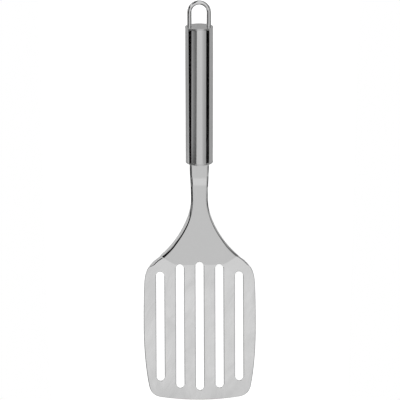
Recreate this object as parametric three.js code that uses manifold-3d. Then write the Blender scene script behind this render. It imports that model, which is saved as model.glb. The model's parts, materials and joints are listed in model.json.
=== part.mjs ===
// Slotted kitchen turner of stainless steel, as it lies on a table.
// Millimetres, +Z up, +Y towards the hanging loop, X across the blade.
// The origin is under the middle of the whole turner, on the table.

import * as THREE from 'three';
import { mergeVertices } from 'three/addons/utils/BufferGeometryUtils.js';
import Module from 'manifold-3d';

const wasm = await Module();
wasm.setup();

const { clamp, degToRad, smoothstep } = THREE.MathUtils;

// Blade, measured on the flat from the crease between blade and shoulder
const sheetThickness = 1.2;
const bladeLength = 98;
const bladeWidth = 81.3;
const widestFromCrease = 42;
const tipWidth = 71.2; // between the two tip corners before they are rounded
const tipBow = 3.3; // how far the middle of the tip edge stands out past its corners
const tipCorner = 7.3; // how far the rounding runs along the edges from a tip corner
const heelWidth = 78.4; // between the two heel corners before they are rounded
const heelBelowCrease = 0.4;
const heelCorner = 10.5;

// Slots, parallel and round-ended
const slotCount = 5;
const slotWidth = 6;
const slotSideMargin = 9.1; // blade's widest edge to the outermost slot
const slotTipMargin = 7.1; // tip edge to the middle slot
const slotPastCrease = 2.6; // the middle slot runs this far into the shoulder
const slotStep = 7; // each end of the outermost slot stops this much short of the middle one

// Shoulder and neck
const shoulderLength = 51; // crease to the waist
const shoulderSlant = degToRad(56); // edge at the heel corner, from the long axis
const shoulderEdgeRun = 11; // nearly straight edge above the heel corner
const waistRun = 18.6; // how gently the edge turns into the waist
const waistWidth = 12.2;
const neckLength = 27.6; // waist to the handle
const neckInset = 2.6; // the neck is this far inside the tube's side
const tangLength = 26;

// Bends of the side profile
const shoulderRise = degToRad(17); // shoulder, neck and handle above the blade
const heelBend = 2.4; // length of the bend at the crease
const neckStepAngle = degToRad(6); // slope of the shallow step pressed into the neck
const neckStepRun = 6; // between the two bends of the step
const neckStepBend = 2.4;
const neckStepToHandle = 14.7; // middle of the step to the handle
const creaseStraight = 18; // half length of the straight middle of the crease
const creaseSweep = 0.67; // the ends of the crease climb the shoulder at this slope
const creaseSoftness = 2;

// Turned-down rim along shoulder and neck
const rimWidth = 2.75; // seen from above
const neckRimWidth = 1.6;
const rimRadius = 2.2;
const rimAngle = degToRad(70);
const rimStart = 2.2; // lower end of the rim, below the crease
const rimGrowth = 3; // length over which the rim grows from there
const rimNarrowing = 20; // length over which it narrows towards the waist
const rimFade = 6; // length over which it flattens out before the handle

// Handle
const tubeDiameter = 19;
const tubeWall = 0.4;
const tubeLength = 94.8;
const capFace = 0.8;
const capLip = 0.3; // the cap's rim stands this far proud of the tube
const capWall = 0.4;
const capSkirt = 7;
const skirtClearance = 0.2;
const seatClearance = 0.3; // between the cap's rim and the end of the tube
const slotClearance = 0.3; // between the neck and its slot in the front cap

// Hanging loop
const wireDiameter = 3;
const legLength = 9.8; // straight leg above the end cap
const legClearance = 0.4; // leg to the cap's skirt
const holeClearance = 0.2;
const tailBend = 3; // bend radius at the middle of the wire
const tailLength = 1.6;

// Fineness of the facets
const roundSides = 48;
const wireSides = 6; // in half a turn
const wireSteps = 56;
const slotEndSteps = 8; // in half a turn
const outlineSteps = 800;
const tipCornerSteps = 6;
const middleSteps = 12; // across the flat part of the sheet
const rimShares = [0, 0.15, 0.3, 0.45, 0.6, 0.8]; // places across the rim, from the edge inwards
const rimSpread = 1.6; // a row crosses the rim aslant, so it meets a wider rim
const rowCounts = { lowSide: 4, highSide: 3, heel: 4, crease: 16, shoulder: 16, neck: 12, tang: 2 };
const slopeStep = 0.01; // for measuring the slope of the top face

const bladeHalf = bladeWidth / 2;
const tubeRadius = tubeDiameter / 2;
const boreRadius = tubeRadius - tubeWall;
const neckHalf = tubeRadius - neckInset;
const wireRadius = wireDiameter / 2;
const handleStation = shoulderLength + neckLength;
const tangEnd = handleStation + tangLength;

const steel = (color, roughness) => new THREE.MeshStandardMaterial({ color, roughness, metalness: 1 });

// Solids for joining and cutting

function solidOf(geometry) {
  const plain = geometry.clone();
  plain.deleteAttribute('normal');
  plain.deleteAttribute('uv');
  const merged = mergeVertices(plain);
  const vertProperties = new Float32Array(merged.attributes.position.array);
  const triVerts = new Uint32Array(merged.index.array);
  return new wasm.Manifold(new wasm.Mesh({ numProp: 3, vertProperties, triVerts }));
}

function geometryOf(solid) {
  const mesh = solid.getMesh();
  const geometry = new THREE.BufferGeometry();
  geometry.setAttribute('position', new THREE.BufferAttribute(mesh.vertProperties.slice(), 3));
  geometry.setIndex(new THREE.BufferAttribute(mesh.triVerts.slice(), 1));
  geometry.computeVertexNormals();
  return geometry;
}

function namedMesh(name, geometry, material) {
  const mesh = new THREE.Mesh(geometry, material);
  mesh.name = name;
  return mesh;
}

// Outline of the sheet's right half: x is the half width, y the station along the sheet from the crease

const tipCornerPoint = new THREE.Vector2(tipWidth / 2, tipBow - bladeLength);
const heelCornerPoint = new THREE.Vector2(heelWidth / 2, -heelBelowCrease);
const lowSide = new THREE.Vector2(bladeHalf, (tipCornerPoint.y - widestFromCrease) / 2);
const highSide = new THREE.Vector2(bladeHalf, (heelCornerPoint.y - widestFromCrease) / 2);

const towards = (from, to, distance) => to.clone().sub(from).setLength(distance).add(from);

// The tip edge is a parabola: its tangent at the start of the corner passes through the corner point
const tipEdgeHalf = tipCornerPoint.x - tipCorner;
const tipEdgeBow = tipBow / ((2 * tipCornerPoint.x) / tipEdgeHalf - 1);

function makeOutline() {
  const slant = new THREE.Vector2(-Math.sin(shoulderSlant), Math.cos(shoulderSlant));
  const sideLow = towards(tipCornerPoint, lowSide, tipCorner);
  const sideHigh = towards(heelCornerPoint, highSide, heelCorner);
  const shoulderFoot = heelCornerPoint.clone().addScaledVector(slant, heelCorner);
  const shoulderPull = shoulderFoot.clone().addScaledVector(slant, shoulderEdgeRun);
  const waistHalf = waistWidth / 2;
  const neckPull = neckLength / 2;

  const outline = new THREE.Path();
  outline.moveTo(tipEdgeHalf, tipEdgeBow - bladeLength);
  outline.quadraticCurveTo(tipCornerPoint.x, tipCornerPoint.y, sideLow.x, sideLow.y);
  outline.quadraticCurveTo(lowSide.x, lowSide.y, bladeHalf, -widestFromCrease);
  outline.quadraticCurveTo(highSide.x, highSide.y, sideHigh.x, sideHigh.y);
  outline.quadraticCurveTo(heelCornerPoint.x, heelCornerPoint.y, shoulderFoot.x, shoulderFoot.y);
  outline.bezierCurveTo(
    shoulderPull.x, shoulderPull.y, waistHalf, shoulderLength - waistRun, waistHalf, shoulderLength);
  outline.bezierCurveTo(
    waistHalf, shoulderLength + neckPull, neckHalf, handleStation - neckPull, neckHalf, handleStation);
  outline.lineTo(neckHalf, tangEnd);
  return outline;
}

const outline = makeOutline();
const edgePoints = outline.getSpacedPoints(outlineSteps);

// Half width at a station, and the cosine of the edge's angle to the long axis
function edgeAt(station) {
  const after = clamp(edgePoints.findIndex((point) => point.y >= station), 1, edgePoints.length - 1);
  const low = edgePoints[after - 1];
  const high = edgePoints[after];
  const run = high.y - low.y;
  const share = clamp((station - low.y) / run, 0, 1);
  return { half: low.x + share * (high.x - low.x), cosine: run / Math.hypot(run, high.x - low.x) };
}

// Side profile of the sheet's top face: straight runs joined by round bends
function profileAt(station, heelShift) {
  const step = handleStation - neckStepToHandle;
  const bends = [
    { middle: heelShift, angle: shoulderRise, length: heelBend },
    { middle: step - neckStepRun / 2, angle: -neckStepAngle, length: neckStepBend },
    { middle: step + neckStepRun / 2, angle: neckStepAngle, length: neckStepBend },
  ];
  let here = -bladeLength;
  let y = here;
  let z = 0;
  let angle = 0;
  for (const bend of bends) {
    const start = bend.middle - bend.length / 2;
    const radius = bend.length / bend.angle;
    const straight = Math.min(station, start) - here;
    const turned = bend.angle * clamp((station - start) / bend.length, 0, 1);
    y += straight * Math.cos(angle) + radius * (Math.sin(angle + turned) - Math.sin(angle));
    z += straight * Math.sin(angle) + radius * (Math.cos(angle) - Math.cos(angle + turned));
    angle += turned;
    here = Math.min(station, start + bend.length);
  }
  const rest = station - here;
  return { y: y + rest * Math.cos(angle), z: z + rest * Math.sin(angle), angle };
}

// The crease is straight in the middle and climbs the shoulder towards its ends
function creaseShift(x) {
  const over = Math.abs(x) - creaseStraight;
  return (creaseSweep * (over + Math.hypot(over, creaseSoftness))) / 2;
}

// Width of the turned-down rim: none on the blade, most on the shoulder, less on the neck
function rimAt(station) {
  const width = rimWidth * smoothstep(station, -rimStart, rimGrowth - rimStart)
    + (neckRimWidth - rimWidth) * smoothstep(station, shoulderLength - rimNarrowing, shoulderLength);
  return width * (1 - smoothstep(station, handleStation - rimFade, handleStation));
}

// How far the rim hangs below the sheet, round at first and then straight
function rimDrop(x, station) {
  const edge = edgeAt(station);
  const over = Math.max(0, rimAt(station) - (edge.half - Math.abs(x)) * edge.cosine);
  const round = Math.min(over, rimRadius * Math.sin(rimAngle));
  return rimRadius - Math.sqrt(rimRadius ** 2 - round ** 2) + (over - round) * Math.tan(rimAngle);
}

function topFace(x, station) {
  const side = profileAt(station, creaseShift(x));
  const drop = rimDrop(x, station);
  return new THREE.Vector3(x, side.y + drop * Math.sin(side.angle), side.z - drop * Math.cos(side.angle));
}

function bottomFace(x, station) {
  const across = topFace(x + slopeStep, station).sub(topFace(x - slopeStep, station));
  const along = topFace(x, station + slopeStep).sub(topFace(x, station - slopeStep));
  const normal = across.cross(along).normalize();
  return topFace(x, station).addScaledVector(normal, -sheetThickness);
}

// Rows of the sheet from the tip to the end of the tang
function sheetRows() {
  const rows = [];
  const tipCurve = outline.curves[0];
  for (let i = 0; i <= tipCornerSteps; i++) {
    const point = tipCurve.getPoint(i / tipCornerSteps);
    rows.push({ half: point.x, station: point.y, dip: tipEdgeBow * (1 - i / tipCornerSteps) });
  }
  const addRows = (to, count) => {
    const from = rows[rows.length - 1].station;
    for (let i = 1; i <= count; i++) {
      const station = from + ((to - from) * i) / count;
      rows.push({ half: edgeAt(station).half, station, dip: 0 });
    }
  };
  addRows(-widestFromCrease, rowCounts.lowSide);
  addRows(-heelBelowCrease - heelCorner, rowCounts.highSide);
  addRows(-rimStart, rowCounts.heel);
  addRows(heelBend + rimGrowth, rowCounts.crease);
  addRows(shoulderLength, rowCounts.shoulder);
  addRows(handleStation, rowCounts.neck);
  addRows(tangEnd, rowCounts.tang);
  return rows;
}

// Places across a row, from the left edge to the right, closer together on the rim
function rowPlaces(half) {
  const rim = Math.min(rimWidth * rimSpread, half / 2);
  const left = rimShares.map((share) => -half + share * rim);
  const middle = [];
  for (let i = 0; i <= middleSteps; i++) {
    middle.push((half - rim) * ((2 * i) / middleSteps - 1));
  }
  const right = left.map((x) => -x).reverse();
  return [...left, ...middle, ...right];
}

// A closed body between the top and the bottom face of a grid of rows
function sheetGeometry() {
  const top = [];
  const bottom = [];
  const rows = sheetRows();
  for (const row of rows) {
    for (const x of rowPlaces(row.half)) {
      const station = row.station - row.dip * (1 - (x / row.half) ** 2);
      top.push(...topFace(x, station).toArray());
      bottom.push(...bottomFace(x, station).toArray());
    }
  }
  const columns = top.length / 3 / rows.length;
  const under = top.length / 3;
  const index = [];
  const quad = (a, b, c, d) => index.push(a, b, c, a, c, d);
  for (let r = 0; r < rows.length - 1; r++) {
    for (let c = 0; c < columns - 1; c++) {
      const a = r * columns + c;
      quad(a, a + 1, a + columns + 1, a + columns);
      quad(under + a, under + a + columns, under + a + columns + 1, under + a + 1);
    }
    const left = r * columns;
    const right = left + columns - 1;
    quad(left, left + columns, under + left + columns, under + left);
    quad(right, under + right, under + right + columns, right + columns);
  }
  const last = (rows.length - 1) * columns;
  for (let c = 0; c < columns - 1; c++) {
    quad(c, under + c, under + c + 1, c + 1);
    quad(last + c, last + c + 1, under + last + c + 1, under + last + c);
  }
  const geometry = new THREE.BufferGeometry();
  geometry.setAttribute('position', new THREE.Float32BufferAttribute([...top, ...bottom], 3));
  geometry.setIndex(index);
  return geometry;
}

function slotCutter(x, low, high) {
  const radius = slotWidth / 2;
  const shape = new THREE.Shape();
  shape.absarc(x, high - radius, radius, 0, Math.PI);
  shape.absarc(x, low + radius, radius, Math.PI, 2 * Math.PI);
  const reach = 5 * sheetThickness;
  const options = { depth: 2 * reach, bevelEnabled: false, curveSegments: slotEndSteps };
  return new THREE.ExtrudeGeometry(shape, options).translate(0, 0, -reach);
}

function makeBlade() {
  const outermost = bladeHalf - slotSideMargin - slotWidth / 2;
  let solid = solidOf(sheetGeometry());
  for (let i = 0; i < slotCount; i++) {
    const share = (2 * i) / (slotCount - 1) - 1;
    const short = slotStep * share ** 2;
    const low = slotTipMargin - bladeLength + short;
    solid = solid.subtract(solidOf(slotCutter(share * outermost, low, slotPastCrease - short)));
  }
  return namedMesh('blade', geometryOf(solid), steel(0xcbccce, 0.24));
}

// Handle pieces, on their own axis: Y runs from the front cap's face to the loop

function lathe(points) {
  const profile = points.map(([radius, y]) => new THREE.Vector2(radius, y));
  return new THREE.LatheGeometry(profile, roundSides);
}

const skirtRadius = boreRadius - skirtClearance;
const skirtBore = skirtRadius - capWall;
const legOffset = skirtBore - legClearance - wireRadius;
const tubeStart = capFace + seatClearance;
const handleLength = tubeLength + 2 * tubeStart;

// A stamped cap with its face at y = 0 and its skirt towards +Y
function capGeometry() {
  return lathe([
    [0, 0],
    [tubeRadius + capLip, 0],
    [tubeRadius + capLip, capFace],
    [skirtRadius, capFace],
    [skirtRadius, capFace + capSkirt],
    [skirtBore, capFace + capSkirt],
    [skirtBore, capFace],
    [0, capFace],
  ]);
}

function makeFrontCap() {
  const slotSize = [2 * (neckHalf + slotClearance), 4 * capFace, sheetThickness + 2 * slotClearance];
  const slot = new THREE.BoxGeometry(...slotSize);
  const solid = solidOf(capGeometry()).subtract(solidOf(slot));
  return namedMesh('front_cap', geometryOf(solid), steel(0xb4b5b7, 0.2));
}

function makeTube() {
  const end = tubeStart + tubeLength;
  const profile = [[boreRadius, tubeStart], [tubeRadius, tubeStart], [tubeRadius, end], [boreRadius, end]];
  return namedMesh('handle_tube', lathe([...profile, profile[0]]), steel(0xbfc0c2, 0.12));
}

function makeEndCap() {
  const drill = new THREE.CylinderGeometry(
    wireRadius + holeClearance, wireRadius + holeClearance, 4 * capFace, 4 * wireSides);
  let solid = solidOf(capGeometry());
  for (const side of [-1, 1]) {
    solid = solid.subtract(solidOf(drill.clone().translate(side * legOffset, 0, 0)));
  }
  const cap = namedMesh('end_cap', geometryOf(solid), steel(0xb4b5b7, 0.2));
  cap.rotation.x = Math.PI;
  cap.position.y = handleLength;
  return cap;
}

// A wire bent in one plane
class FlatBend extends THREE.Curve {
  constructor(path) {
    super();
    this.path = path;
  }

  getPoint(t) {
    const point = this.path.getPoint(t);
    return new THREE.Vector3(point.x, point.y, 0);
  }
}

// Measured from the end cap's face: tail, leg, round top, leg, tail
function makeLoop() {
  const bendHeight = -capFace - seatClearance;
  const tailHeight = bendHeight - tailBend;
  const tailStart = legOffset - tailBend - tailLength;
  const path = new THREE.Path();
  path.moveTo(tailStart, tailHeight);
  path.lineTo(legOffset - tailBend, tailHeight);
  path.absarc(legOffset - tailBend, bendHeight, tailBend, -Math.PI / 2, 0);
  path.lineTo(legOffset, legLength);
  path.absarc(0, legLength, legOffset, 0, Math.PI);
  path.lineTo(-legOffset, bendHeight);
  path.absarc(tailBend - legOffset, bendHeight, tailBend, Math.PI, 1.5 * Math.PI);
  path.lineTo(-tailStart, tailHeight);

  const section = new THREE.Shape().absarc(0, 0, wireRadius, 0, 2 * Math.PI);
  const options = { steps: wireSteps, curveSegments: wireSides, extrudePath: new FlatBend(path) };
  const geometry = new THREE.ExtrudeGeometry(section, options);
  const loop = namedMesh('hanging_loop', geometry, steel(0xc6c7c9, 0.14));
  loop.position.y = handleLength;
  return loop;
}

// Assembly

function makeHandle() {
  const seat = profileAt(handleStation, 0);
  const handle = new THREE.Group();
  handle.add(makeFrontCap(), makeTube(), makeEndCap(), makeLoop());
  const depth = sheetThickness / 2;
  handle.position.set(0, seat.y + depth * Math.sin(seat.angle), seat.z - depth * Math.cos(seat.angle));
  handle.rotation.x = shoulderRise;
  return handle;
}

// The turner leans back until the front cap touches the table behind the heel
function lyingAngle(blade, handle) {
  handle.updateMatrixWorld(true);
  const bladePoints = [];
  const handlePoints = [];
  const collect = (mesh, points) => {
    const { position } = mesh.geometry.attributes;
    for (let i = 0; i < position.count; i++) {
      points.push(new THREE.Vector3().fromBufferAttribute(position, i).applyMatrix4(mesh.matrixWorld));
    }
  };
  collect(blade, bladePoints);
  handle.children.forEach((mesh) => collect(mesh, handlePoints));
  const lowest = (points, lean) =>
    Math.min(...points.map((p) => p.z * Math.cos(lean) - p.y * Math.sin(lean)));
  let low = 0;
  let high = shoulderRise;
  for (let i = 0; i < 40; i++) {
    const lean = (low + high) / 2;
    if (lowest(handlePoints, lean) > lowest(bladePoints, lean)) low = lean;
    else high = lean;
  }
  return low;
}

const blade = makeBlade();
const handle = makeHandle();
const turner = new THREE.Group();
turner.rotation.x = -lyingAngle(blade, handle);
turner.add(blade, handle);

const box = new THREE.Box3().setFromObject(turner, true);
turner.position.set(0, -(box.min.y + box.max.y) / 2, -box.min.z);

const part = new THREE.Group();
part.add(turner);

export default part;
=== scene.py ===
"""A slotted kitchen turner of stainless steel, dressed and lit for a studio picture."""

import bisect
import json
import math

import bpy
from bpy.props import FloatProperty, FloatVectorProperty, IntProperty, PointerProperty
from bpy.types import Operator, Panel, PropertyGroup
from mathutils import Matrix, Vector
from mathutils.geometry import delaunay_2d_cdt


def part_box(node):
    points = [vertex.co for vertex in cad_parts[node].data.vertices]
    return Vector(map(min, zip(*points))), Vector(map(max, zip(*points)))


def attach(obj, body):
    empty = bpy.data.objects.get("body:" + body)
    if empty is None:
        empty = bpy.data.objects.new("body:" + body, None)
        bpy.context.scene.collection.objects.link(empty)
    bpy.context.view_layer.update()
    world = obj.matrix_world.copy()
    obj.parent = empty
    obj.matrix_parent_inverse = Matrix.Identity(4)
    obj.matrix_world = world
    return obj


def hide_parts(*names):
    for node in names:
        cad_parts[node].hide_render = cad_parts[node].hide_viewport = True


bl_info = {
    "name": "Slotted Turner",
    "version": (1, 0, 0),
    "blender": (4, 5, 0),
    "location": "3D View > Sidebar > Turner",
    "description": "Builds a stainless steel kitchen turner and the studio it lies in",
    "category": "Object",
}

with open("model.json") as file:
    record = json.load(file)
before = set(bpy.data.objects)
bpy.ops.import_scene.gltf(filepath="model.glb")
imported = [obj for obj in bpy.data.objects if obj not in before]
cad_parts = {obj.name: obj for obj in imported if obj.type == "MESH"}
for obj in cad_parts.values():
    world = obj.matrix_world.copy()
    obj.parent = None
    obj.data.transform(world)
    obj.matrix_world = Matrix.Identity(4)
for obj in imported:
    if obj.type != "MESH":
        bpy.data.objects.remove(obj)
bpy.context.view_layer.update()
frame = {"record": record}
MM = 0.001
BODY = "root"


# Properties

def length(name, description, millimetres):
    """A length property with its default given in millimetres."""
    return FloatProperty(
        name=name, description=description, default=millimetres * MM, min=0.0,
        unit="LENGTH", precision=5)


def angle(name, description, degrees):
    """An angle property with its default given in degrees."""
    return FloatProperty(
        name=name, description=description, default=math.radians(degrees), unit="ROTATION")


def share(name, description, value):
    """A plain number, such as a roughness or a slope."""
    return FloatProperty(name=name, description=description, default=value, precision=3)


def grey(name, description, level):
    """A colour property whose default is a neutral grey."""
    return FloatVectorProperty(
        name=name, description=description, default=(level, level, level),
        min=0.0, max=1.0, size=3, subtype="COLOR")


class TurnerBlade(PropertyGroup):
    """The flat blank of blade, shoulder and neck, measured from the crease."""
    thickness: length("Thickness", "Thickness of the sheet", 1.2)
    edge_radius: length("Edge radius", "Rounding of the blade's and slots' edges", 0.55)
    rim_edge_radius: length("Rim edge radius", "Rounding of the edge of the rims", 0.25)
    length: length("Blade length", "From the crease to the tip", 98)
    width: length("Blade width", "At its widest", 81.3)
    widest: length("Widest place", "From the crease to the widest place", 42)
    tip_width: length("Tip width", "Between the tip corners before rounding", 71.2)
    tip_bow: length("Tip bow", "How far the tip edge stands out past its corners", 3.3)
    tip_corner: length("Tip corner", "Run of the rounding at a tip corner", 7.3)
    heel_width: length("Heel width", "Between the heel corners before rounding", 78.4)
    heel_drop: length("Heel drop", "Heel corners below the crease", 0.4)
    heel_corner: length("Heel corner", "Run of the rounding at a heel corner", 10.5)
    slot_count: IntProperty(name="Slots", description="Number of slots", default=5, min=2)
    slot_width: length("Slot width", "Width of one slot", 6)
    slot_side: length("Slot side margin", "Blade's widest edge to the outermost slot", 9.1)
    slot_tip: length("Slot tip margin", "Tip edge to the middle slot", 7.1)
    slot_past: length("Slot past crease", "Reach of the middle slot into the shoulder", 2.6)
    slot_step: length("Slot step", "How much shorter the outermost slot is at each end", 7)
    shoulder: length("Shoulder length", "Crease to the waist", 51)
    slant: angle("Shoulder slant", "Edge at the heel corner, from the long axis", 56)
    edge_run: length("Shoulder edge run", "Straight edge above the heel corner", 11)
    waist_run: length("Waist run", "How gently the edge turns into the waist", 18.6)
    waist: length("Waist width", "Width at the waist", 12.2)
    neck: length("Neck length", "Waist to the handle", 27.6)
    neck_inset: length("Neck inset", "Neck inside the side of the tube", 2.6)
    tang: length("Tang length", "Neck inside the handle", 26)


class TurnerPress(PropertyGroup):
    """What the press does to the blank: bends, the step in the neck and the rims."""
    rise: angle("Rise", "Shoulder, neck and handle above the blade", 17)
    heel_bend: length("Heel bend", "Length of the bend at the crease", 2.4)
    step_angle: angle("Neck step", "Slope of the shallow step in the neck", 6)
    step_run: length("Step run", "Between the two bends of the step", 6)
    step_bend: length("Step bend", "Length of each bend of the step", 2.4)
    step_to_handle: length("Step to handle", "Middle of the step to the handle", 14.7)
    crease_straight: length("Crease straight", "Half length of the crease's middle", 18)
    crease_sweep: share("Crease sweep", "Slope at which the crease ends climb", 0.67)
    crease_softness: length("Crease softness", "Rounding of the crease's corners", 2)
    rim: length("Rim width", "Turned-down rim of the shoulder, from above", 2.8)
    right_rim: share("Right rim", "Width of the shoulder's right rim against its left one", 0.7)
    neck_rim: length("Neck rim width", "Turned-down rim of the neck, from above", 2.2)
    heel_radius: length("Heel rim radius", "Radius of the rim's bend at the heel", 1.85)
    neck_radius: length("Neck rim radius", "Radius of the rim's bend on the neck", 2.9)
    rim_angle: angle("Rim angle", "How far the rim turns down", 58)
    rim_start: length("Rim start", "Lower end of the rim, below the crease", 2.2)
    rim_growth: length("Rim growth", "Over which the rim grows at the heel", 3)
    rim_narrowing: length("Rim narrowing", "Over which the rim narrows towards the waist", 20)
    rim_fade: length("Rim fade", "Over which the rim ends before the handle", 2)


class TurnerHandle(PropertyGroup):
    """The tube, its two caps and the hanging loop."""
    diameter: length("Tube diameter", "Outside of the tube", 19)
    wall: length("Tube wall", "Thickness of the tube", 0.4)
    tube: length("Tube length", "Without the caps", 94.8)
    face: length("Cap face", "Thickness of a cap's face", 0.8)
    lip: length("Cap lip", "Cap's rim outside the tube", 0.1)
    lip_round: length("Lip rounding", "Rounding of the cap's rim at its face", 0.15)
    lip_edge: length("Lip edge", "Rounding of the cap's rim towards the tube", 0.05)
    skirt: length("Cap skirt", "Depth of the skirt inside the tube", 7)
    skirt_wall: length("Skirt wall", "Thickness of the skirt", 0.4)
    skirt_gap: length("Skirt gap", "Between skirt and tube", 0.2)
    seat_gap: length("Seat gap", "Room between the cap's rim and the tube", 0.3)
    seam: length("Seam", "What shows of that room once the tube is pressed home", 0.04)
    slot_gap: length("Neck slot gap", "Between the neck and its slot", 0.3)
    wire: length("Wire diameter", "Wire of the loop", 3)
    leg: length("Leg length", "Straight leg above the end cap", 9.8)
    leg_gap: length("Leg gap", "Between the leg and the cap's skirt", 0.4)
    hole_gap: length("Hole gap", "Between the leg and its hole", 0.2)
    tail_bend: length("Tail bend", "Bend radius inside the cap", 3)
    tail: length("Tail length", "Turned-in end of the wire", 1.6)


class TurnerFinish(PropertyGroup):
    """Colours and polish of the four steel finishes."""
    blade_color: grey("Blade colour", "Reflection colour of the satin sheet", 0.78)
    blade_rough: share("Blade roughness", "Roughness of the satin sheet", 0.1)
    tube_color: grey("Tube colour", "Reflection colour of the polished tube", 0.78)
    tube_rough: share("Tube roughness", "Roughness of the polished tube", 0.09)
    cap_color: grey("Cap colour", "Reflection colour of the caps", 0.74)
    cap_rough: share("Cap roughness", "Roughness of the caps", 0.16)
    wire_color: grey("Wire colour", "Reflection colour of the wire", 0.78)
    wire_rough: share("Wire roughness", "Roughness of the wire", 0.1)


class TurnerStage(PropertyGroup):
    """Floor, light and camera."""
    floor_width: length("Floor width", "Width of the pale floor", 220)
    floor_length: length("Floor length", "Length of the pale floor", 460)
    floor_color: grey("Floor colour", "Colour of the pale floor", 0.5)
    floor_white: share("Floor white", "White that the camera sees on the floor", 0.8)
    soft_light: share("Soft light", "Strength of the light from all around", 0.85)
    front_watts: FloatProperty(
        name="Front lamp", description="Power of the lamp over the floor by the left heel",
        default=2.6, unit="POWER")
    back_watts: FloatProperty(
        name="Back lamp", description="Power of the lamp over the floor below the loop",
        default=0.65, unit="POWER")
    focal: length("Focal length", "Lens of the camera on a 36 mm sensor", 122.4)
    distance: length("Distance", "Camera to the crease", 984)
    pitch: angle("Pitch", "Camera leaning from the blade's face towards the handle", 2.845)
    yaw: angle("Yaw", "Camera moved to the left", 0.62)
    roll: angle("Roll", "Camera turned about its view", -0.3)
    aim_up: length("Aim up", "Middle of the picture above the crease", 47.4)
    aim_side: FloatProperty(
        name="Aim side", description="Middle of the picture beside the crease",
        default=0.36 * MM, unit="LENGTH", precision=5)


# Geometry of the pressed sheet

def bezier(points, t):
    """The point at t on the curve with these control points."""
    while len(points) > 1:
        points = [a.lerp(b, t) for a, b in zip(points, points[1:])]
    return points[0]


def arc_point(middle, radius, turn):
    """The point of a circle at a turn, anticlockwise from +X."""
    return middle + Vector((radius * math.cos(turn), radius * math.sin(turn)))


def towards(start, end, distance):
    """The point at a distance from start on the way to end."""
    return start + (end - start).normalized() * distance


def smoothstep(value, low, high):
    t = min(max((value - low) / (high - low), 0.0), 1.0)
    return t * t * (3 - 2 * t)


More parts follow.
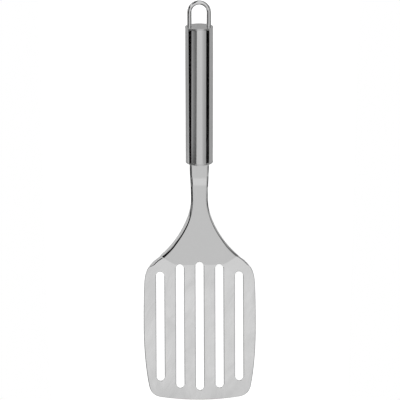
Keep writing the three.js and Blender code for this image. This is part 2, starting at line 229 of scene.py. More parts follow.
class Sheet:
    """The blank's outline, and where each of its points lies once it is pressed.

    A point of the blank is given by x, across the turner, and its station, along the
    sheet from the crease.
    """

    SLOPE_STEP = 0.01 * MM
    OUTLINE_STEP = 0.7 * MM

    def __init__(self, blade, press, handle):
        self.blade = blade
        self.press = press
        self.half = blade.width / 2
        self.neck_half = handle.diameter / 2 - blade.neck_inset
        self.handle_station = blade.shoulder + blade.neck
        self.tang_end = self.handle_station + blade.tang
        self.tip = Vector((blade.tip_width / 2, blade.tip_bow - blade.length))
        self.heel = Vector((blade.heel_width / 2, -blade.heel_drop))
        # The tip edge is a parabola that runs into the corner curve without a kink
        self.tip_half = self.tip.x - blade.tip_corner
        self.tip_rise = blade.tip_bow / (2 * self.tip.x / self.tip_half - 1)
        self.right_edge = self.sample_right_edge()
        self.stations = [point.y for point in self.right_edge]
        before = [self.right_edge[0], *self.right_edge]
        after = [*self.right_edge[1:], self.right_edge[-1]]
        self.cosines = [(b - a).normalized().y for a, b in zip(before, after)]

    def edge_curves(self):
        """The right edge from the tip to the tang, as curves with their control points."""
        blade = self.blade
        widest = Vector((self.half, -blade.widest))
        low_pull = Vector((self.half, (self.tip.y - blade.widest) / 2))
        high_pull = Vector((self.half, (self.heel.y - blade.widest) / 2))
        side_low = towards(self.tip, low_pull, blade.tip_corner)
        side_high = towards(self.heel, high_pull, blade.heel_corner)
        slant = Vector((-math.sin(blade.slant), math.cos(blade.slant)))
        foot = self.heel + slant * blade.heel_corner
        waist = Vector((blade.waist / 2, blade.shoulder))
        seat = Vector((self.neck_half, self.handle_station))
        along = Vector((0, 1))
        return [
            [Vector((self.tip_half, self.tip_rise - blade.length)), self.tip, side_low],
            [side_low, low_pull, widest],
            [widest, high_pull, side_high],
            [side_high, self.heel, foot],
            [foot, foot + slant * blade.edge_run, waist - along * blade.waist_run, waist],
            [waist, waist + along * blade.neck / 2, seat - along * blade.neck / 2, seat],
            [seat, Vector((self.neck_half, self.tang_end))],
        ]

    def sample_right_edge(self):
        points = []
        for curve in self.edge_curves():
            reach = sum((b - a).length for a, b in zip(curve, curve[1:]))
            steps = math.ceil(reach / self.OUTLINE_STEP)
            points += [bezier(curve, i / steps) for i in range(steps)]
        return points + [Vector((self.neck_half, self.tang_end))]

    def outline(self):
        """The closed outline, anticlockwise from the left end of the tip edge."""
        steps = math.ceil(2 * self.tip_half / self.OUTLINE_STEP)
        tip_edge = [self.tip_edge_point(2 * i / steps - 1) for i in range(steps)]
        left = [Vector((-p.x, p.y)) for p in reversed(self.right_edge)]
        return tip_edge + self.right_edge + left[:-1]

    def tip_edge_point(self, across):
        rise = self.tip_rise * across * across
        return Vector((across * self.tip_half, rise - self.blade.length))

    def slots(self):
        """Middle line and ends of each slot: x, low station, high station."""
        blade = self.blade
        outermost = self.half - blade.slot_side - blade.slot_width / 2
        for i in range(blade.slot_count):
            place = 2 * i / (blade.slot_count - 1) - 1
            short = blade.slot_step * place * place
            yield (place * outermost, blade.slot_tip - blade.length + short,
                   blade.slot_past - short)

    def slot_outline(self, slot):
        """One slot's outline, clockwise so that the steel is on the left."""
        x, low, high = slot
        radius = self.blade.slot_width / 2
        turns = 20
        steps = math.ceil((high - low - 2 * radius) / self.OUTLINE_STEP)
        points = []
        for middle, start, side in ((high - radius, math.pi, 1), (low + radius, 0.0, -1)):
            for i in range(turns):
                points.append(arc_point(Vector((x, middle)), radius, start - math.pi * i / turns))
            for i in range(steps):
                run = (high - low - 2 * radius) * i / steps
                points.append(Vector((x + side * radius, middle - side * run)))
        return points

    def edge_at(self, station):
        """Half width at a station, and the cosine of the edge's angle to the long axis."""
        after = min(max(bisect.bisect_left(self.stations, station), 1), len(self.stations) - 1)
        low, high = self.right_edge[after - 1], self.right_edge[after]
        part = min(max((station - low.y) / (high.y - low.y), 0.0), 1.0)
        cosine = self.cosines[after - 1] * (1 - part) + self.cosines[after] * part
        return low.x + part * (high.x - low.x), cosine

    def profile_at(self, station, heel_shift):
        """Side profile of the top face: straight runs joined by round bends."""
        press = self.press
        step = self.handle_station - press.step_to_handle
        bends = (
            (heel_shift, press.rise, press.heel_bend),
            (step - press.step_run / 2, -press.step_angle, press.step_bend),
            (step + press.step_run / 2, press.step_angle, press.step_bend),
        )
        here = y = -self.blade.length
        z = slope = 0.0
        for middle, turn, reach in bends:
            start = middle - reach / 2
            radius = reach / turn
            straight = min(station, start) - here
            turned = turn * min(max((station - start) / reach, 0.0), 1.0)
            y += straight * math.cos(slope)
            y += radius * (math.sin(slope + turned) - math.sin(slope))
            z += straight * math.sin(slope)
            z += radius * (math.cos(slope) - math.cos(slope + turned))
            slope += turned
            here = min(station, start + reach)
        rest = station - here
        return y + rest * math.cos(slope), z + rest * math.sin(slope), slope

    def crease_at(self, x):
        """Station of the crease: straight in the middle, climbing towards its ends."""
        over = abs(x) - self.press.crease_straight
        return self.press.crease_sweep * (over + math.hypot(over, self.press.crease_softness)) / 2

    def rim_at(self, side, station):
        """Width of the left or right rim: none on the blade, most on the shoulder."""
        press = self.press
        waist = self.blade.shoulder
        width = press.rim * (press.right_rim if side > 0 else 1.0)
        width *= smoothstep(station, -press.rim_start, press.rim_growth - press.rim_start)
        narrowed = smoothstep(station, waist - press.rim_narrowing, waist)
        width += (press.neck_rim - width) * narrowed
        start = self.handle_station - press.rim_fade
        return width * (1 - smoothstep(station, start, self.handle_station))

    def rim_radius_at(self, station):
        """Radius of the rim's bend, which opens towards the waist."""
        press = self.press
        waist = self.blade.shoulder
        opened = smoothstep(station, waist - press.rim_narrowing, waist)
        return press.heel_radius + (press.neck_radius - press.heel_radius) * opened

    def edge_radius_at(self, station):
        """Rounding of the cut edge: full on the blade, finer along the rims."""
        blade, press = self.blade, self.press
        on_rim = smoothstep(station, press.rim_growth, press.rim_growth + blade.edge_run)
        return blade.edge_radius + (blade.rim_edge_radius - blade.edge_radius) * on_rim

    def rim_drop(self, x, station):
        """How far the rim hangs below the sheet, round at first and then straight."""
        half, cosine = self.edge_at(station)
        over = max(0.0, self.rim_at(x, station) - (half - abs(x)) * cosine)
        radius = self.rim_radius_at(station)
        rounded = min(over, radius * math.sin(self.press.rim_angle))
        straight = (over - rounded) * math.tan(self.press.rim_angle)
        return radius - math.sqrt(radius * radius - rounded * rounded) + straight

    def top(self, x, station):
        """The top face's point."""
        y, z, slope = self.profile_at(station, self.crease_at(x))
        drop = self.rim_drop(x, station)
        return Vector((x, y + drop * math.sin(slope), z - drop * math.cos(slope)))

    def slope_along(self, point, direction):
        """Unit tangent of the top face at a point of the blank, in a direction of the blank."""
        step = direction * self.SLOPE_STEP
        return (self.top(*(point + step)) - self.top(*(point - step))).normalized()

    def normal(self, point):
        across = self.slope_along(point, Vector((1, 0)))
        along = self.slope_along(point, Vector((0, 1)))
        return across.cross(along).normalized()

    def clearance(self, point):
        """Distance on the blank from a point to the nearest cut edge, about right near it."""
        half, cosine = self.edge_at(point.y)
        gaps = [(half - abs(point.x)) * cosine]
        across = min(max(point.x / self.tip_half, -1.0), 1.0)
        gaps.append(point.y - self.tip_edge_point(across).y)
        gaps.append(self.tang_end - point.y)
        radius = self.blade.slot_width / 2
        for x, low, high in self.slots():
            nearest = min(max(point.y, low + radius), high - radius)
            gaps.append(math.hypot(point.x - x, point.y - nearest) - radius)
        return min(gaps)


def loop_normals(loop):
    """Unit normals of a closed loop, pointing away from the steel on its left."""
    normals = []
    for i in range(len(loop)):
        tangent = loop[(i + 1) % len(loop)] - loop[i - 1]
        normals.append(Vector((tangent.y, -tangent.x)).normalized())
    return normals


def rim_places(sheet, turns=10, flats=4):
    """Lines along the rims: at even turns of the bend, down its straight part and beside it."""
    bend = sheet.press.rim_angle
    beside = (0.15 * MM, 0.5 * MM, 1.2 * MM)
    places = []
    for edge in sheet.right_edge:
        half, cosine = sheet.edge_at(edge.y)
        radius = sheet.rim_radius_at(edge.y)
        for side in (-1, 1):
            rim = sheet.rim_at(side, edge.y)
            if rim <= 0:
                continue
            flange = max(rim - radius * math.sin(bend), 0.0)
            depths = [rim - radius * math.sin(bend * i / turns) for i in range(turns + 1)]
            depths += [flange * i / flats for i in range(1, flats)]
            depths += [rim + gap for gap in beside]
            places += [Vector((side * (half - depth / cosine), edge.y)) for depth in depths]
    return places


def bend_places(sheet, steps=8, spacing=0.8 * MM):
    """Lines along the crease and along both bends of the step in the neck, a little past each."""
    press = sheet.press
    reach = 0.6
    step = sheet.handle_station - press.step_to_handle
    places = []
    for i in range(math.ceil(sheet.half / spacing)):
        for side in (-1, 1):
            x = side * (i + 0.5) * spacing
            bends = [(sheet.crease_at(x), press.heel_bend)]
            bends += [(step + part * press.step_run, press.step_bend) for part in (-0.5, 0.5)]
            for middle, run in bends:
                offsets = [reach * run * k / steps for k in range(-steps, steps + 1)]
                places += [Vector((x, middle + offset)) for offset in offsets]
    return places


def grid_places(sheet, spacing=2.5 * MM):
    """An open grid for the flat parts, with every other row shifted by half a step."""
    length = sheet.blade.length
    rows = math.ceil((sheet.tang_end + length) / spacing)
    columns = math.ceil(sheet.half / spacing)
    return [Vector(((column + row % 2 / 2) * spacing, row * spacing - length))
            for row in range(rows) for column in range(-columns, columns + 1)]


def fill_blank(sheet, loops):
    """Triangles between the loops: places, triangles and each loop's place numbers.

    The places inside are close together where the sheet is bent.
    """
    margin = 0.12 * MM
    inside_loops, merging = 1, 1e-8
    corners = [point for loop in loops for point in loop]
    edges = []
    for loop in loops:
        first = len(edges)
        edges += [(first + i, first + (i + 1) % len(loop)) for i in range(len(loop))]
    inside = [p for p in rim_places(sheet) + bend_places(sheet) + grid_places(sheet)
              if sheet.clearance(p) > sheet.edge_radius_at(p.y) + margin]
    places, _, faces, sources, _, _ = delaunay_2d_cdt(
        corners + inside, edges, [], inside_loops, merging)
    number = {source: i for i, found in enumerate(sources) for source in found}
    triangles = []
    for face in faces:
        a, b, c = (places[i] for i in face)
        if sheet.clearance((a + b + c) / 3) <= 0:
            continue
        turn = (b - a).cross(c - a)
        triangles.append(face if turn > 0 else face[::-1])
    rings, start = [], 0
    for loop in loops:
        rings.append([number[start + i] for i in range(len(loop))])
        start += len(loop)
    return places, triangles, rings


def edge_section(thickness, radius, steps=3):
    """Section of a rounded cut edge: reach outwards, depth and turn of the normal."""
    upper = []
    for i in range(1, steps + 1):
        turn = math.pi / 2 * i / steps
        upper.append((radius * math.sin(turn), radius * (1 - math.cos(turn)), turn))
    lower = [(reach, thickness - depth, math.pi - turn) for reach, depth, turn in reversed(upper)]
    return upper + lower


def pressed_sheet(sheet):
    """Vertices, normals and faces of the whole pressed sheet with rounded edges."""
    blade = sheet.blade
    loops, outwards = [], []
    for loop in [sheet.outline(), *(sheet.slot_outline(slot) for slot in sheet.slots())]:
        normals = loop_normals(loop)
        inner = []
        for point, normal in zip(loop, normals):
            inset = normal * sheet.edge_radius_at(point.y)
            tangent = sheet.slope_along(point - inset, normal)
            inner.append(point - inset * math.hypot(tangent.x, tangent.y))
        loops.append(inner)
        outwards.append(normals)
    places, triangles, rings = fill_blank(sheet, loops)

    tops = [sheet.top(*place) for place in places]
    ups = [sheet.normal(place) for place in places]
    count = len(places)
    vertices = tops + [top - up * blade.thickness for top, up in zip(tops, ups)]
    normals = ups + [-up for up in ups]
    faces = list(triangles)
    faces += [tuple(i + count for i in reversed(face)) for face in triangles]
    for ring, directions in zip(rings, outwards):
        columns = []
        for i, direction in zip(ring, directions):
            out = sheet.slope_along(places[i], direction)
            out = (out - ups[i] * out.dot(ups[i])).normalized()
            first = len(vertices)
            section = edge_section(blade.thickness, sheet.edge_radius_at(places[i].y))
            for reach, depth, turn in section:
                vertices.append(tops[i] + out * reach - ups[i] * depth)
                normals.append(out * math.sin(turn) + ups[i] * math.cos(turn))
            columns.append([i, *range(first, len(vertices)), i + count])
        for left, right in zip(columns, columns[1:] + columns[:1]):
            for k in range(len(left) - 1):
                faces.append((left[k], left[k + 1], right[k + 1], right[k]))
    return vertices, normals, faces


# Geometry of the handle, on its own axis: Y runs from the front cap's face to the loop

# Strip beside a rounded corner, which keeps the shading of the wall or face beyond it straight
FLAT_MARGIN = 0.4 * MM


class HandleSizes:
    """Sizes of the handle that follow from the ones that are set."""

    def __init__(self, handle):
        self.radius = handle.diameter / 2
        self.bore = self.radius - handle.wall
        self.skirt = self.bore - handle.skirt_gap
        self.skirt_bore = self.skirt - handle.skirt_wall
        self.wire = handle.wire / 2
        self.leg = self.skirt_bore - handle.leg_gap - self.wire
        self.tube_start = handle.face + handle.seat_gap
        self.length = handle.tube + 2 * self.tube_start


def corner_arc(radius, y, bend, start, steps=4):
    """Points of a quarter round about (radius, y), from a start angle, anticlockwise."""
    turns = [start + math.pi / 2 * i / steps for i in range(steps + 1)]
    return [(radius + bend * math.cos(t), y + bend * math.sin(t)) for t in turns]


def new_mesh(name, vertices, faces):
    mesh = bpy.data.meshes.new(name)
    mesh.from_pydata(vertices, [], faces)
    return mesh


def lathe(name, profile, sides=160):
    """A mesh turned about Y from a closed profile of (radius, y) points.

    Points on the axis become one vertex.
    """
    vertices, faces, rings = [], [], []
    for radius, y in profile:
        if radius < 1e-9:
            rings.append([len(vertices)] * sides)
            vertices.append((0.0, y, 0.0))
            continue
        rings.append(list(range(len(vertices), len(vertices) + sides)))
        for i in range(sides):
            turn = 2 * math.pi * i / sides
            vertices.append((radius * math.cos(turn), y, radius * math.sin(turn)))
    for low, high in zip(rings, rings[1:] + rings[:1]):
        for i in range(sides):
            j = (i + 1) % sides
            corners = list(dict.fromkeys((low[i], high[i], high[j], low[j])))
            if len(corners) > 2:
                faces.append(corners)
    return new_mesh(name, vertices, faces)


def cap_profile(handle):
    """A stamped cap with its face at y = 0 and its skirt towards +Y."""
    sizes = HandleSizes(handle)
    outside = sizes.radius + handle.lip
    bend, edge = handle.lip_round, handle.lip_edge
    rim = outside - bend
    end = handle.face + handle.skirt
    return [
        (0.0, 0.0),
        (rim - FLAT_MARGIN, 0.0),
        *corner_arc(rim, bend, bend, -math.pi / 2),
        *corner_arc(outside - edge, handle.face - edge, edge, 0.0),
        (sizes.skirt, handle.face),
        (sizes.skirt, end),
        (sizes.skirt_bore, end),
        (sizes.skirt_bore, handle.face),
        (0.0, handle.face),
    ]


def tube_profile(handle):
    """The tube's wall with its ends lightly rounded."""
    sizes = HandleSizes(handle)
    pressed = handle.seat_gap - handle.seam
    low, high = sizes.tube_start - pressed, sizes.tube_start + handle.tube + pressed
    bend = handle.wall / 4
    outer, inner = sizes.radius - bend, sizes.bore + bend
    return [
        *corner_arc(outer, low + bend, bend, -math.pi / 2),
        (sizes.radius, low + FLAT_MARGIN),
        (sizes.radius, high - FLAT_MARGIN),
        *corner_arc(outer, high - bend, bend, 0.0),
        *corner_arc(inner, high - bend, bend, math.pi / 2),
        (sizes.bore, high - FLAT_MARGIN),
        (sizes.bore, low + FLAT_MARGIN),
        *corner_arc(inner, low + bend, bend, math.pi),
    ]


def loop_path(handle, tail_steps=12, leg_steps=8, top_steps=24):
    """The wire's middle line from the end cap's face: tail, leg, round top, leg, tail."""
    sizes = HandleSizes(handle)
    quarter = math.pi / 2
    bend_y = -handle.face - handle.seat_gap
    tail_x = sizes.leg - handle.tail_bend
    points = [Vector((tail_x - handle.tail, bend_y - handle.tail_bend))]
    for i in range(tail_steps + 1):
        turn = quarter * (i / tail_steps - 1)
        points.append(arc_point(Vector((tail_x, bend_y)), handle.tail_bend, turn))
    for i in range(1, leg_steps):
        points.append(Vector((sizes.leg, bend_y + (handle.leg - bend_y) * i / leg_steps)))
    for i in range(top_steps):
        points.append(arc_point(Vector((0, handle.leg)), sizes.leg, quarter * i / top_steps))
    mirrored = [Vector((-p.x, p.y)) for p in reversed(points)]
    return points + [Vector((0, handle.leg + sizes.leg))] + mirrored


def wire_mesh(name, path, radius, sides=32):
    """A round wire along a path in the XY plane, with domed ends."""
    vertices, faces = [], []
    tangents = []
    for i in range(len(path)):
        before, after = path[max(i - 1, 0)], path[min(i + 1, len(path) - 1)]
        tangents.append((after - before).normalized())
    dome, dome_radius = 0.4 * radius, 0.6 * radius
    rings = [(path[0] - tangents[0] * dome, tangents[0], dome_radius)]
    rings += [(point, tangent, radius) for point, tangent in zip(path, tangents)]
    rings.append((path[-1] + tangents[-1] * dome, tangents[-1], dome_radius))
    for point, tangent, ring_radius in rings:
        side = Vector((tangent.y, -tangent.x))
        for i in range(sides):
            turn = 2 * math.pi * i / sides
            flat = point + side * ring_radius * math.cos(turn)
            vertices.append((flat.x, flat.y, ring_radius * math.sin(turn)))
    for r in range(len(rings) - 1):
        for i in range(sides):
            j = (i + 1) % sides
            a, b = r * sides, (r + 1) * sides
            faces.append((a + i, a + j, b + j, b + i))
    faces.append(tuple(reversed(range(sides))))
    last = (len(rings) - 1) * sides
    faces.append(tuple(range(last, last + sides)))
    return new_mesh(name, vertices, faces)


# Places in the frame

def turner_place(scene):
    """From the blank's own axes to the frame, found from the tube's box and the blade's lean."""
    mounts = {mount["name"]: mount for mount in frame["record"]["mounts"]}
    _, down_y, down_z = mounts["blade_underside"]["axis"]
    turn = Matrix.Rotation(-math.atan2(-down_y, -down_z), 4, "X")
    low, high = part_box("handle_tube")
    middle = HandleSizes(scene.turner_handle).length / 2
    tube_middle = seat_place(scene) @ Vector((0, middle, 0))
    return Matrix.Translation((low + high) / 2 - turn @ tube_middle) @ turn


def seat_place(scene):
    """From the handle's axis to the blank's axes: the front cap's face, along the neck."""
    sheet = Sheet(scene.turner_blade, scene.turner_press, scene.turner_handle)
    y, z, slope = sheet.profile_at(sheet.handle_station, 0.0)
    depth = sheet.blade.thickness / 2
    seat = Vector((0, y + depth * math.sin(slope), z - depth * math.cos(slope)))
    return Matrix.Translation(seat) @ Matrix.Rotation(slope, 4, "X")


def handle_place(scene):
    return turner_place(scene) @ seat_place(scene)


def add_object(scene, name, data):
    thing = bpy.data.objects.new(name, data)
    scene.collection.objects.link(thing)
    return thing


def add_piece(context, mesh, place, node, material):
    """Puts a finished mesh in the frame in the place of its node."""
    mesh.transform(place)
    mesh.materials.append(material)
    piece = add_object(context.scene, node + "_steel", mesh)
    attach(piece, BODY)
    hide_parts(node)
    return piece


def cut(context, mesh, cutters):
    """The mesh with the cutter meshes taken away."""
    body = add_object(context.scene, "body", mesh)
    helpers = []
    for cutter in cutters:
        helper = add_object(context.scene, "cutter", cutter)
        helpers.append(helper)
        modifier = body.modifiers.new("cut", "BOOLEAN")
        modifier.operation = "DIFFERENCE"
        modifier.solver = "EXACT"
        modifier.object = helper
    context.view_layer.update()
    shown = body.evaluated_get(context.evaluated_depsgraph_get())
    result = bpy.data.meshes.new_from_object(shown)
    for helper in [body, *helpers]:
        bpy.data.objects.remove(helper)
    return result


def smooth(mesh, sharp_degrees=40):
    """Smooth shading that keeps sharp edges sharp."""
    mesh.polygons.foreach_set("use_smooth", [True] * len(mesh.polygons))
    mesh.set_sharp_from_angle(angle=math.radians(sharp_degrees))


# Finishes

class Nodes:
    """Short ways to add and link nodes in one tree."""

    def __init__(self, tree):
        self.tree = tree
        tree.nodes.clear()

    def add(self, kind, inputs=(), **settings):
        """A node with its settings, and its inputs given as values or as sockets to link."""
        node = self.tree.nodes.new(kind)
        for name, value in settings.items():
            setattr(node, name, value)
        for key, value in dict(inputs).items():
            if isinstance(value, bpy.types.NodeSocket):
                self.tree.links.new(value, node.inputs[key])
            else:
                node.inputs[key].default_value = value
        return node

    def math(self, operation, *values):
        return self.add("ShaderNodeMath", enumerate(values), operation=operation).outputs[0]

    def noise(self, coordinates, stretch, scale, detail, turn=0.0, swirl=0.0):
        """Noise on coordinates that are turned about Z and stretched."""
        turned = self.add("ShaderNodeMapping", {"Vector": coordinates, "Rotation": (0, 0, turn)})
        mapping = self.add("ShaderNodeMapping", {"Vector": turned.outputs[0], "Scale": stretch})
        noise = self.add("ShaderNodeTexNoise", {
            "Vector": mapping.outputs[0], "Scale": scale, "Detail": detail, "Roughness": 0.6,
            "Distortion": swirl})
        return noise.outputs["Fac"]

    def spread(self, value, low, high, source=(0.3, 0.7)):
        """A value laid out from low to high over its source range, and held beyond it."""
        return self.add("ShaderNodeMapRange", {
            "Value": value, "From Min": source[0], "From Max": source[1],
            "To Min": low, "To Max": high}).outputs[0]

    def rises(self, value, border):
        """0 before a soft border and 1 past it."""
        return self.spread(value, 0.0, 1.0, border)

    def falls(self, value, border):
        """1 before a soft border and 0 past it."""
        return self.spread(value, 1.0, 0.0, border)

    def chain(self, operation, *values):
        """One operation over all the values, such as their sum."""
        result = values[0]
        for value in values[1:]:
            result = self.math(operation, result, value)
        return result

    def product(self, *values):
        return self.chain("MULTIPLY", *values)

    def ramp(self, turn, stops):
        """A level by an angle in radians, from stops of degrees and level."""
        part = self.math("MULTIPLY_ADD", turn, 0.5 / math.pi, 0.5)
        node = self.add("ShaderNodeValToRGB", {"Fac": part})
        elements = node.color_ramp.elements
        while len(elements) < len(stops):
            elements.new(0.5)
        for element, (degrees, level) in zip(elements, stops):
            element.position = degrees / 360 + 0.5
            element.color = (level, level, level, 1.0)
        return node.outputs[0]


# Name of each finish, and the stretch, scale and height in metres of its grain
GRAINS = {
    "blade": ("satin_sheet", (1.0, 0.06, 1.0), 1800.0, 0.2e-6),
    "tube": ("polished_tube", (1.0, 0.015, 1.0), 2200.0, 0.1e-6),
    "cap": ("stamped_cap", (1.0, 1.0, 1.0), 1500.0, 0.4e-6),
    "wire": ("drawn_wire", (1.0, 0.1, 1.0), 2500.0, 0.3e-6),
}


def steel(finish, kind, wipes=None):
    """Polished steel with a fine grain in its tone, gloss and relief.

    wipes, where a piece has them, is a function that adds the tone of soft polishing marks, and of
    a tip darker than the rest, to the node tree.
    """
    name, stretch, scale, height = GRAINS[kind]
    color, roughness = getattr(finish, kind + "_color"), getattr(finish, kind + "_rough")
    material = bpy.data.materials.new(name)
    material.use_nodes = True
    nodes = Nodes(material.node_tree)
    place = nodes.add("ShaderNodeTexCoord").outputs["Object"]
    fine = nodes.noise(place, stretch, scale, detail=4.0)
    cloud = nodes.noise(place, stretch=(1.0, 1.0, 1.0), scale=70.0, detail=2.0)
    tone = nodes.spread(fine, 0.99, 1.01)
    if wipes:
        tone = nodes.product(tone, wipes(nodes, place))
    shade = nodes.add("ShaderNodeHueSaturation", {"Color": (*color, 1.0), "Value": tone})
    rough = nodes.product(nodes.spread(fine, 0.85 * roughness, 1.15 * roughness),
                          nodes.spread(cloud, 0.85, 1.15))
    relief = nodes.add("ShaderNodeBump", {"Strength": 0.5, "Distance": height, "Height": fine})
    shader = nodes.add("ShaderNodeBsdfPrincipled", {
        "Base Color": shade.outputs[0], "Metallic": 1.0, "Roughness": rough,
        "Normal": relief.outputs[0]})
    nodes.add("ShaderNodeOutputMaterial", {"Surface": shader.outputs[0]})
    return material


def blade_wipes(crease):
    """Soft slanting marks on the blade, which end at the crease, and a colour that darkens towards
    the tip.
    """
    def tone(nodes, place):
        streaks = nodes.noise(place, stretch=(1.0, 0.4, 1.0), scale=75.0, detail=2.0,
                              turn=math.radians(20), swirl=2.2)
        patches = nodes.noise(place, stretch=(1.0, 0.6, 1.0), scale=34.0, detail=1.0,
                              turn=math.radians(35), swirl=1.2)
        marks = nodes.math("ADD", nodes.spread(streaks, -0.06, 0.045),
                           nodes.spread(patches, -0.055, 0.04))
        along = nodes.add("ShaderNodeSeparateXYZ", {0: place}).outputs["Y"]
        worn = nodes.falls(along, (crease - 6 * MM, crease + 1 * MM))
        # The steel's colour is up to 7 per cent darker over the last part towards the tip
        darker_tip = nodes.spread(along, 0.93, 1.0, (crease - 92 * MM, crease - 80 * MM))
        return nodes.product(nodes.math("MULTIPLY_ADD", marks, worn, 1.0), darker_tip)
    return tone


# Stage

def floor_material(stage):
    """Pale floor with the object's shadow, which the camera sees as white."""
    material = bpy.data.materials.new("pale_floor")
    material.use_nodes = True
    nodes = Nodes(material.node_tree)
    ray = nodes.add("ShaderNodeLightPath").outputs
    direct = nodes.math("MAXIMUM", ray["Is Camera Ray"], ray["Is Transmission Ray"])
    white = nodes.math("MULTIPLY", direct, stage.floor_white)
    paint = nodes.add("ShaderNodeBsdfDiffuse", {"Color": (*stage.floor_color, 1.0)})
    glow = nodes.add("ShaderNodeEmission", {"Strength": white})
    both = nodes.add("ShaderNodeAddShader", {0: paint.outputs[0], 1: glow.outputs[0]})
    nodes.add("ShaderNodeOutputMaterial", {"Surface": both.outputs[0]})
    return material


# What the steel mirrors, by the angle around the handle from straight above: a large soft panel
# overhead that pales to the right, a grey cloth on the left and a dark flag on each side
STUDIO = (
    (-180, 0.0), (-74.5, 0.0), (-73, 0.3), (-62, 0.305), (-52, 0.205), (-43, 0.19),
    (-34, 0.15), (-23.7, 0.15), (-22.3, 0.65), (0, 0.66), (14, 0.67), (24, 0.615),
    (33, 0.525), (43, 0.435), (52, 0.38), (60, 0.345), (65.5, 0.33), (66.5, 0.0),
    (97, 0.0), (98, 0.33), (180, 0.33),
)
PANEL = 0.66
PANE = 0.55

# Soft borders in the studio, each from its start to its end. Around is the angle about the handle
# in radians, to the right. Along is how far a direction points along the handle, from -1 at the
# blade to 1 at the loop. Up is the same for the top of the picture.

# Lean of the cloth: start and end along the handle, lean before and after, in radians
CLOTH_LEAN = (
    (-0.5, -0.46, -0.31, 0.0), (-0.35, -0.2, 0.19, -0.078),
    (-0.14, -0.09, 0.0, 0.12), (0.3, 0.45, 0.0, -0.25),
)
LEAN_ACROSS = (-0.4, 0.0)
WALL_AROUND = (-0.43, -0.39)
STRIP_START, STRIP_END = (-0.322, -0.306), (-0.215, -0.195)
FRONT_AROUND, FRONT_START, FRONT_END = (-0.9, -0.8), (-0.5, -0.46), (-0.37, -0.345)
BACK_AROUND, BACK_UP, BACK_START = (0.1, 0.5), (-0.25, -0.15), (-0.195, -0.165)
GAP_SLOPE, GAP_SHIFT, GAP_HALF = 0.68, 0.1, (0.13, 0.17)
FLAG_START, FLAG_END, FLAG_UP, FLAG_SHADE = (0.6, 0.75), (1.64, 1.7), (-0.36, -0.28), 0.8
GAIN_UP, GAIN = (-0.56, -0.46), 1.18
PANE_AROUND, PANE_START, PANE_END, FAR_PANE = (1.17, 1.23), (-0.15, -0.11), (0.2, 0.26), (0.5, 0.56)
CORNER_AROUND, CORNER_ALONG = (-0.9, -0.8), (-0.44, -0.4)


def studio_level(nodes, direction, rise):
    """Brightness of the studio in a direction, given across, up and out of the picture."""
    x, y, z = nodes.add("ShaderNodeSeparateXYZ", {0: direction}).outputs
    around = nodes.math("ARCTAN2", x, z)
    along = nodes.math("MULTIPLY_ADD", y, math.cos(rise), nodes.math("MULTIPLY", z, math.sin(rise)))

    # The edge of the cloth on the left leans more or less with the place along the handle
    steps = [nodes.spread(along, low, high, (start, end)) for start, end, low, high in CLOTH_LEAN]
    lean = nodes.product(nodes.chain("ADD", *steps), nodes.falls(x, LEAN_ACROSS))
    leaning = nodes.math("ADD", around, lean)
    level = nodes.ramp(leaning, STUDIO)

    # It is a strip beside the handle, with a dark wall before and behind it
    strip = nodes.product(nodes.rises(along, STRIP_START), nodes.falls(along, STRIP_END))
    wall = nodes.falls(leaning, WALL_AROUND)
    dark = nodes.product(wall, nodes.math("SUBTRACT", 1.0, strip))
    level = nodes.product(level, nodes.math("SUBTRACT", 1.0, dark))

    # The panel reaches further to the left before the blade and to the right behind it, and
    # shows through a slanting gap in the wall
    before = nodes.product(nodes.rises(around, FRONT_AROUND), nodes.rises(along, FRONT_START),
                           nodes.falls(along, FRONT_END))
    behind = nodes.product(nodes.rises(around, BACK_AROUND), nodes.rises(y, BACK_UP),
                           nodes.rises(along, BACK_START))
    slant = nodes.math("ADD", nodes.math("MULTIPLY_ADD", around, GAP_SLOPE, along), GAP_SHIFT)
    gap = nodes.falls(nodes.math("ABSOLUTE", slant), GAP_HALF)
    reach = nodes.chain("MAXIMUM", before, behind, gap)
    more = nodes.product(reach, nodes.math("SUBTRACT", PANEL, level))
    level = nodes.math("ADD", level, nodes.math("MAXIMUM", more, 0.0))

    # A flag shades the right, and the light is weaker low down the picture
    flag = nodes.product(nodes.rises(around, FLAG_START), nodes.falls(around, FLAG_END),
                         nodes.rises(y, FLAG_UP))
    shade = nodes.math("MULTIPLY_ADD", flag, -FLAG_SHADE, 1.0)
    level = nodes.product(level, shade, nodes.spread(y, 1.0, GAIN, GAIN_UP))

    # Panes of light low at the sides, which the blade mirrors when it is seen from there
    near = nodes.product(nodes.rises(along, PANE_START), nodes.falls(along, PANE_END))
    sides = nodes.product(nodes.rises(nodes.math("ABSOLUTE", around), PANE_AROUND),
                          nodes.math("MAXIMUM", near, nodes.rises(along, FAR_PANE)))
    corner = nodes.product(nodes.falls(around, CORNER_AROUND), nodes.falls(along, CORNER_ALONG))
    panes = nodes.product(nodes.math("MAXIMUM", sides, corner), PANE)
    return nodes.math("MAXIMUM", level, panes)


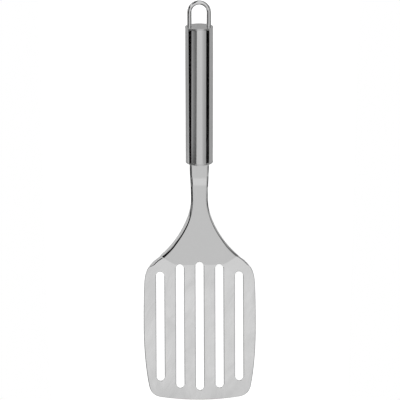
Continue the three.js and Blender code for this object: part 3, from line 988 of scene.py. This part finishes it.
def studio_world(stage, tilt, rise):
    """Soft light all around; the steel mirrors the panel, cloth, walls and panes of the studio.

    tilt is how far the studio leans towards the handle, as the camera does, and rise the
    angle from there to the handle.
    """
    world = bpy.data.worlds.new("studio")
    world.use_nodes = True
    nodes = Nodes(world.node_tree)
    direction = nodes.add("ShaderNodeTexCoord").outputs["Generated"]
    turned = nodes.add("ShaderNodeMapping", {"Vector": direction, "Rotation": (tilt, 0, 0)})
    level = studio_level(nodes, turned.outputs[0], rise)
    ray = nodes.add("ShaderNodeLightPath").outputs
    pale = (1.0, 1.0, 1.0, 1.0)
    mirrored = nodes.add("ShaderNodeBackground", {"Color": pale, "Strength": level})
    plain = nodes.add("ShaderNodeBackground", {"Color": pale, "Strength": stage.soft_light})
    white = nodes.add("ShaderNodeBackground", {"Color": pale, "Strength": 1.0})
    light = nodes.add("ShaderNodeMixShader", {
        0: ray["Is Glossy Ray"], 1: plain.outputs[0], 2: mirrored.outputs[0]})
    seen = nodes.math("MAXIMUM", ray["Is Camera Ray"], ray["Is Transmission Ray"])
    sky = nodes.add("ShaderNodeMixShader", {0: seen, 1: light.outputs[0], 2: white.outputs[0]})
    nodes.add("ShaderNodeOutputWorld", {"Surface": sky.outputs[0]})
    return world


# Lamps over the floor: where each stands, what it shines on and the radius of its pool of light
FRONT_LAMP = ((-60 * MM, -50 * MM, 350 * MM), (-60 * MM, -30 * MM, 0.0), 55 * MM)
BACK_LAMP = ((0.0, 260 * MM, 120 * MM), (0.0, 147 * MM, 0.0), 20 * MM)
LAMP_SIZE = 30 * MM

# Width of the camera's sensor, in millimetres as Blender takes it
SENSOR_WIDTH = 36.0


def add_lamp(scene, name, watts, place, target, pool):
    """A soft lamp with a round pool of light on the floor; the steel mirrors only the studio."""
    place, target = Vector(place), Vector(target)
    lamp = bpy.data.lights.new(name, "SPOT")
    lamp.energy = watts
    lamp.shadow_soft_size = LAMP_SIZE
    lamp.spot_size = 2 * math.atan(pool / (place - target).length)
    lamp.spot_blend = 0.5
    light = add_object(scene, name, lamp)
    light.location = place
    light.rotation_euler = (place - target).to_track_quat("Z", "Y").to_euler()
    light.visible_glossy = False


def camera_place(scene):
    """Camera above the crease, leaning towards the handle as in the photograph."""
    stage = scene.turner_stage
    turn = (Matrix.Rotation(-stage.pitch, 4, "X") @ Matrix.Rotation(-stage.yaw, 4, "Y")
            @ Matrix.Rotation(stage.roll, 4, "Z"))
    offset = Vector((stage.aim_side, stage.aim_up, stage.distance))
    return turner_place(scene) @ turn @ Matrix.Translation(offset)


# Operators

class TURNER_OT_blade(Operator):
    """Press the blade with its shoulder, neck and tang from one sheet"""
    bl_idname = "turner.blade"
    bl_label = "Blade"

    def execute(self, context):
        scene = context.scene
        sheet = Sheet(scene.turner_blade, scene.turner_press, scene.turner_handle)
        vertices, normals, faces = pressed_sheet(sheet)
        mesh = new_mesh("blade", vertices, faces)
        mesh.polygons.foreach_set("use_smooth", [True] * len(mesh.polygons))
        place = turner_place(scene)
        turn = place.to_3x3()
        material = steel(scene.turner_finish, "blade", blade_wipes(place.translation.y))
        piece = add_piece(context, mesh, place, "blade", material)
        piece.data.normals_split_custom_set_from_vertices([turn @ n for n in normals])
        return {"FINISHED"}


class TURNER_OT_caps(Operator):
    """Stamp the front cap with the neck's slot and the end cap with the holes of the loop"""
    bl_idname = "turner.caps"
    bl_label = "Caps"

    def execute(self, context):
        scene = context.scene
        handle = scene.turner_handle
        sizes = HandleSizes(handle)
        material = steel(scene.turner_finish, "cap")
        place = handle_place(scene)
        through = 3 * handle.face

        neck = Sheet(scene.turner_blade, scene.turner_press, handle).neck_half + handle.slot_gap
        thick = scene.turner_blade.thickness / 2 + handle.slot_gap
        corners = [(x, y, z) for x in (-neck, neck) for y in (-through, through)
                   for z in (-thick, thick)]
        sides = [(0, 1, 3, 2), (4, 6, 7, 5), (0, 4, 5, 1), (2, 3, 7, 6), (0, 2, 6, 4), (1, 5, 7, 3)]
        slot = new_mesh("neck_slot", corners, sides)
        front = cut(context, lathe("front_cap", cap_profile(handle)), [slot])
        smooth(front)
        add_piece(context, front, place, "front_cap", material)

        hole = sizes.wire + handle.hole_gap
        bit = [(0, -through), (hole, -through), (hole, through), (0, through)]
        drills = []
        for side in (-1, 1):
            drill = lathe("drill", bit, sides=48)
            drill.transform(Matrix.Translation((side * sizes.leg, 0, 0)))
            drills.append(drill)
        end = cut(context, lathe("end_cap", cap_profile(handle)), drills)
        smooth(end)
        turned = Matrix.Translation((0, sizes.length, 0)) @ Matrix.Rotation(math.pi, 4, "X")
        add_piece(context, end, place @ turned, "end_cap", material)
        return {"FINISHED"}


class TURNER_OT_tube(Operator):
    """Draw the handle's tube"""
    bl_idname = "turner.tube"
    bl_label = "Tube"

    def execute(self, context):
        scene = context.scene
        mesh = lathe("handle_tube", tube_profile(scene.turner_handle))
        smooth(mesh)
        material = steel(scene.turner_finish, "tube")
        add_piece(context, mesh, handle_place(scene), "handle_tube", material)
        return {"FINISHED"}


class TURNER_OT_loop(Operator):
    """Bend the hanging loop from wire"""
    bl_idname = "turner.loop"
    bl_label = "Hanging loop"

    def execute(self, context):
        scene = context.scene
        handle = scene.turner_handle
        sizes = HandleSizes(handle)
        mesh = wire_mesh("hanging_loop", loop_path(handle), sizes.wire)
        smooth(mesh, sharp_degrees=60)
        place = handle_place(scene) @ Matrix.Translation((0, sizes.length, 0))
        material = steel(scene.turner_finish, "wire")
        add_piece(context, mesh, place, "hanging_loop", material)
        return {"FINISHED"}


class TURNER_OT_stage(Operator):
    """Lay the floor, light the studio and place the camera"""
    bl_idname = "turner.stage"
    bl_label = "Stage"

    def execute(self, context):
        scene = context.scene
        stage = scene.turner_stage
        x, y = stage.floor_width / 2, stage.floor_length / 2
        corners = [(-x, -y, 0), (x, -y, 0), (x, y, 0), (-x, y, 0)]
        mesh = new_mesh("floor", corners, [(0, 1, 2, 3)])
        mesh.materials.append(floor_material(stage))
        floor = add_object(scene, "floor", mesh)

        up = turner_place(scene).to_3x3() @ Vector((0, 0, 1))
        lean = math.atan2(up.y, up.z)
        rise = scene.turner_press.rise + stage.pitch
        scene.world = studio_world(stage, lean + stage.pitch, rise)
        add_lamp(scene, "front_lamp", stage.front_watts, *FRONT_LAMP)
        add_lamp(scene, "back_lamp", stage.back_watts, *BACK_LAMP)

        camera = bpy.data.cameras.new("camera")
        camera.lens = stage.focal / MM
        camera.sensor_width = SENSOR_WIDTH
        eye = add_object(scene, "camera", camera)
        eye.matrix_world = camera_place(scene)
        scene.camera = eye
        scene.view_settings.view_transform = "Standard"
        return {"FINISHED"}


class TURNER_PT_sidebar(Panel):
    """Lists the turner's operators and sizes"""
    bl_idname = "TURNER_PT_sidebar"
    bl_label = "Slotted Turner"
    bl_space_type = "VIEW_3D"
    bl_region_type = "UI"
    bl_category = "Turner"

    def draw(self, context):
        layout = self.layout
        for operator in OPERATORS:
            layout.operator(operator.bl_idname)
        for name, group in GROUPS.items():
            box = layout.box()
            box.label(text=group.__name__)
            settings = getattr(context.scene, name)
            for key in group.__annotations__:
                box.prop(settings, key)


GROUPS = {
    "turner_blade": TurnerBlade,
    "turner_press": TurnerPress,
    "turner_handle": TurnerHandle,
    "turner_finish": TurnerFinish,
    "turner_stage": TurnerStage,
}
OPERATORS = (
    TURNER_OT_blade, TURNER_OT_caps, TURNER_OT_tube, TURNER_OT_loop, TURNER_OT_stage)


def register():
    for cls in (*GROUPS.values(), *OPERATORS, TURNER_PT_sidebar):
        bpy.utils.register_class(cls)
    for name, group in GROUPS.items():
        setattr(bpy.types.Scene, name, PointerProperty(type=group))


def unregister():
    for name in GROUPS:
        delattr(bpy.types.Scene, name)
    for cls in reversed((*GROUPS.values(), *OPERATORS, TURNER_PT_sidebar)):
        bpy.utils.unregister_class(cls)


def main():
    register()
    bpy.ops.turner.blade()
    bpy.ops.turner.caps()
    bpy.ops.turner.tube()
    bpy.ops.turner.loop()
    bpy.ops.turner.stage()


if __name__ == "__main__":
    main()
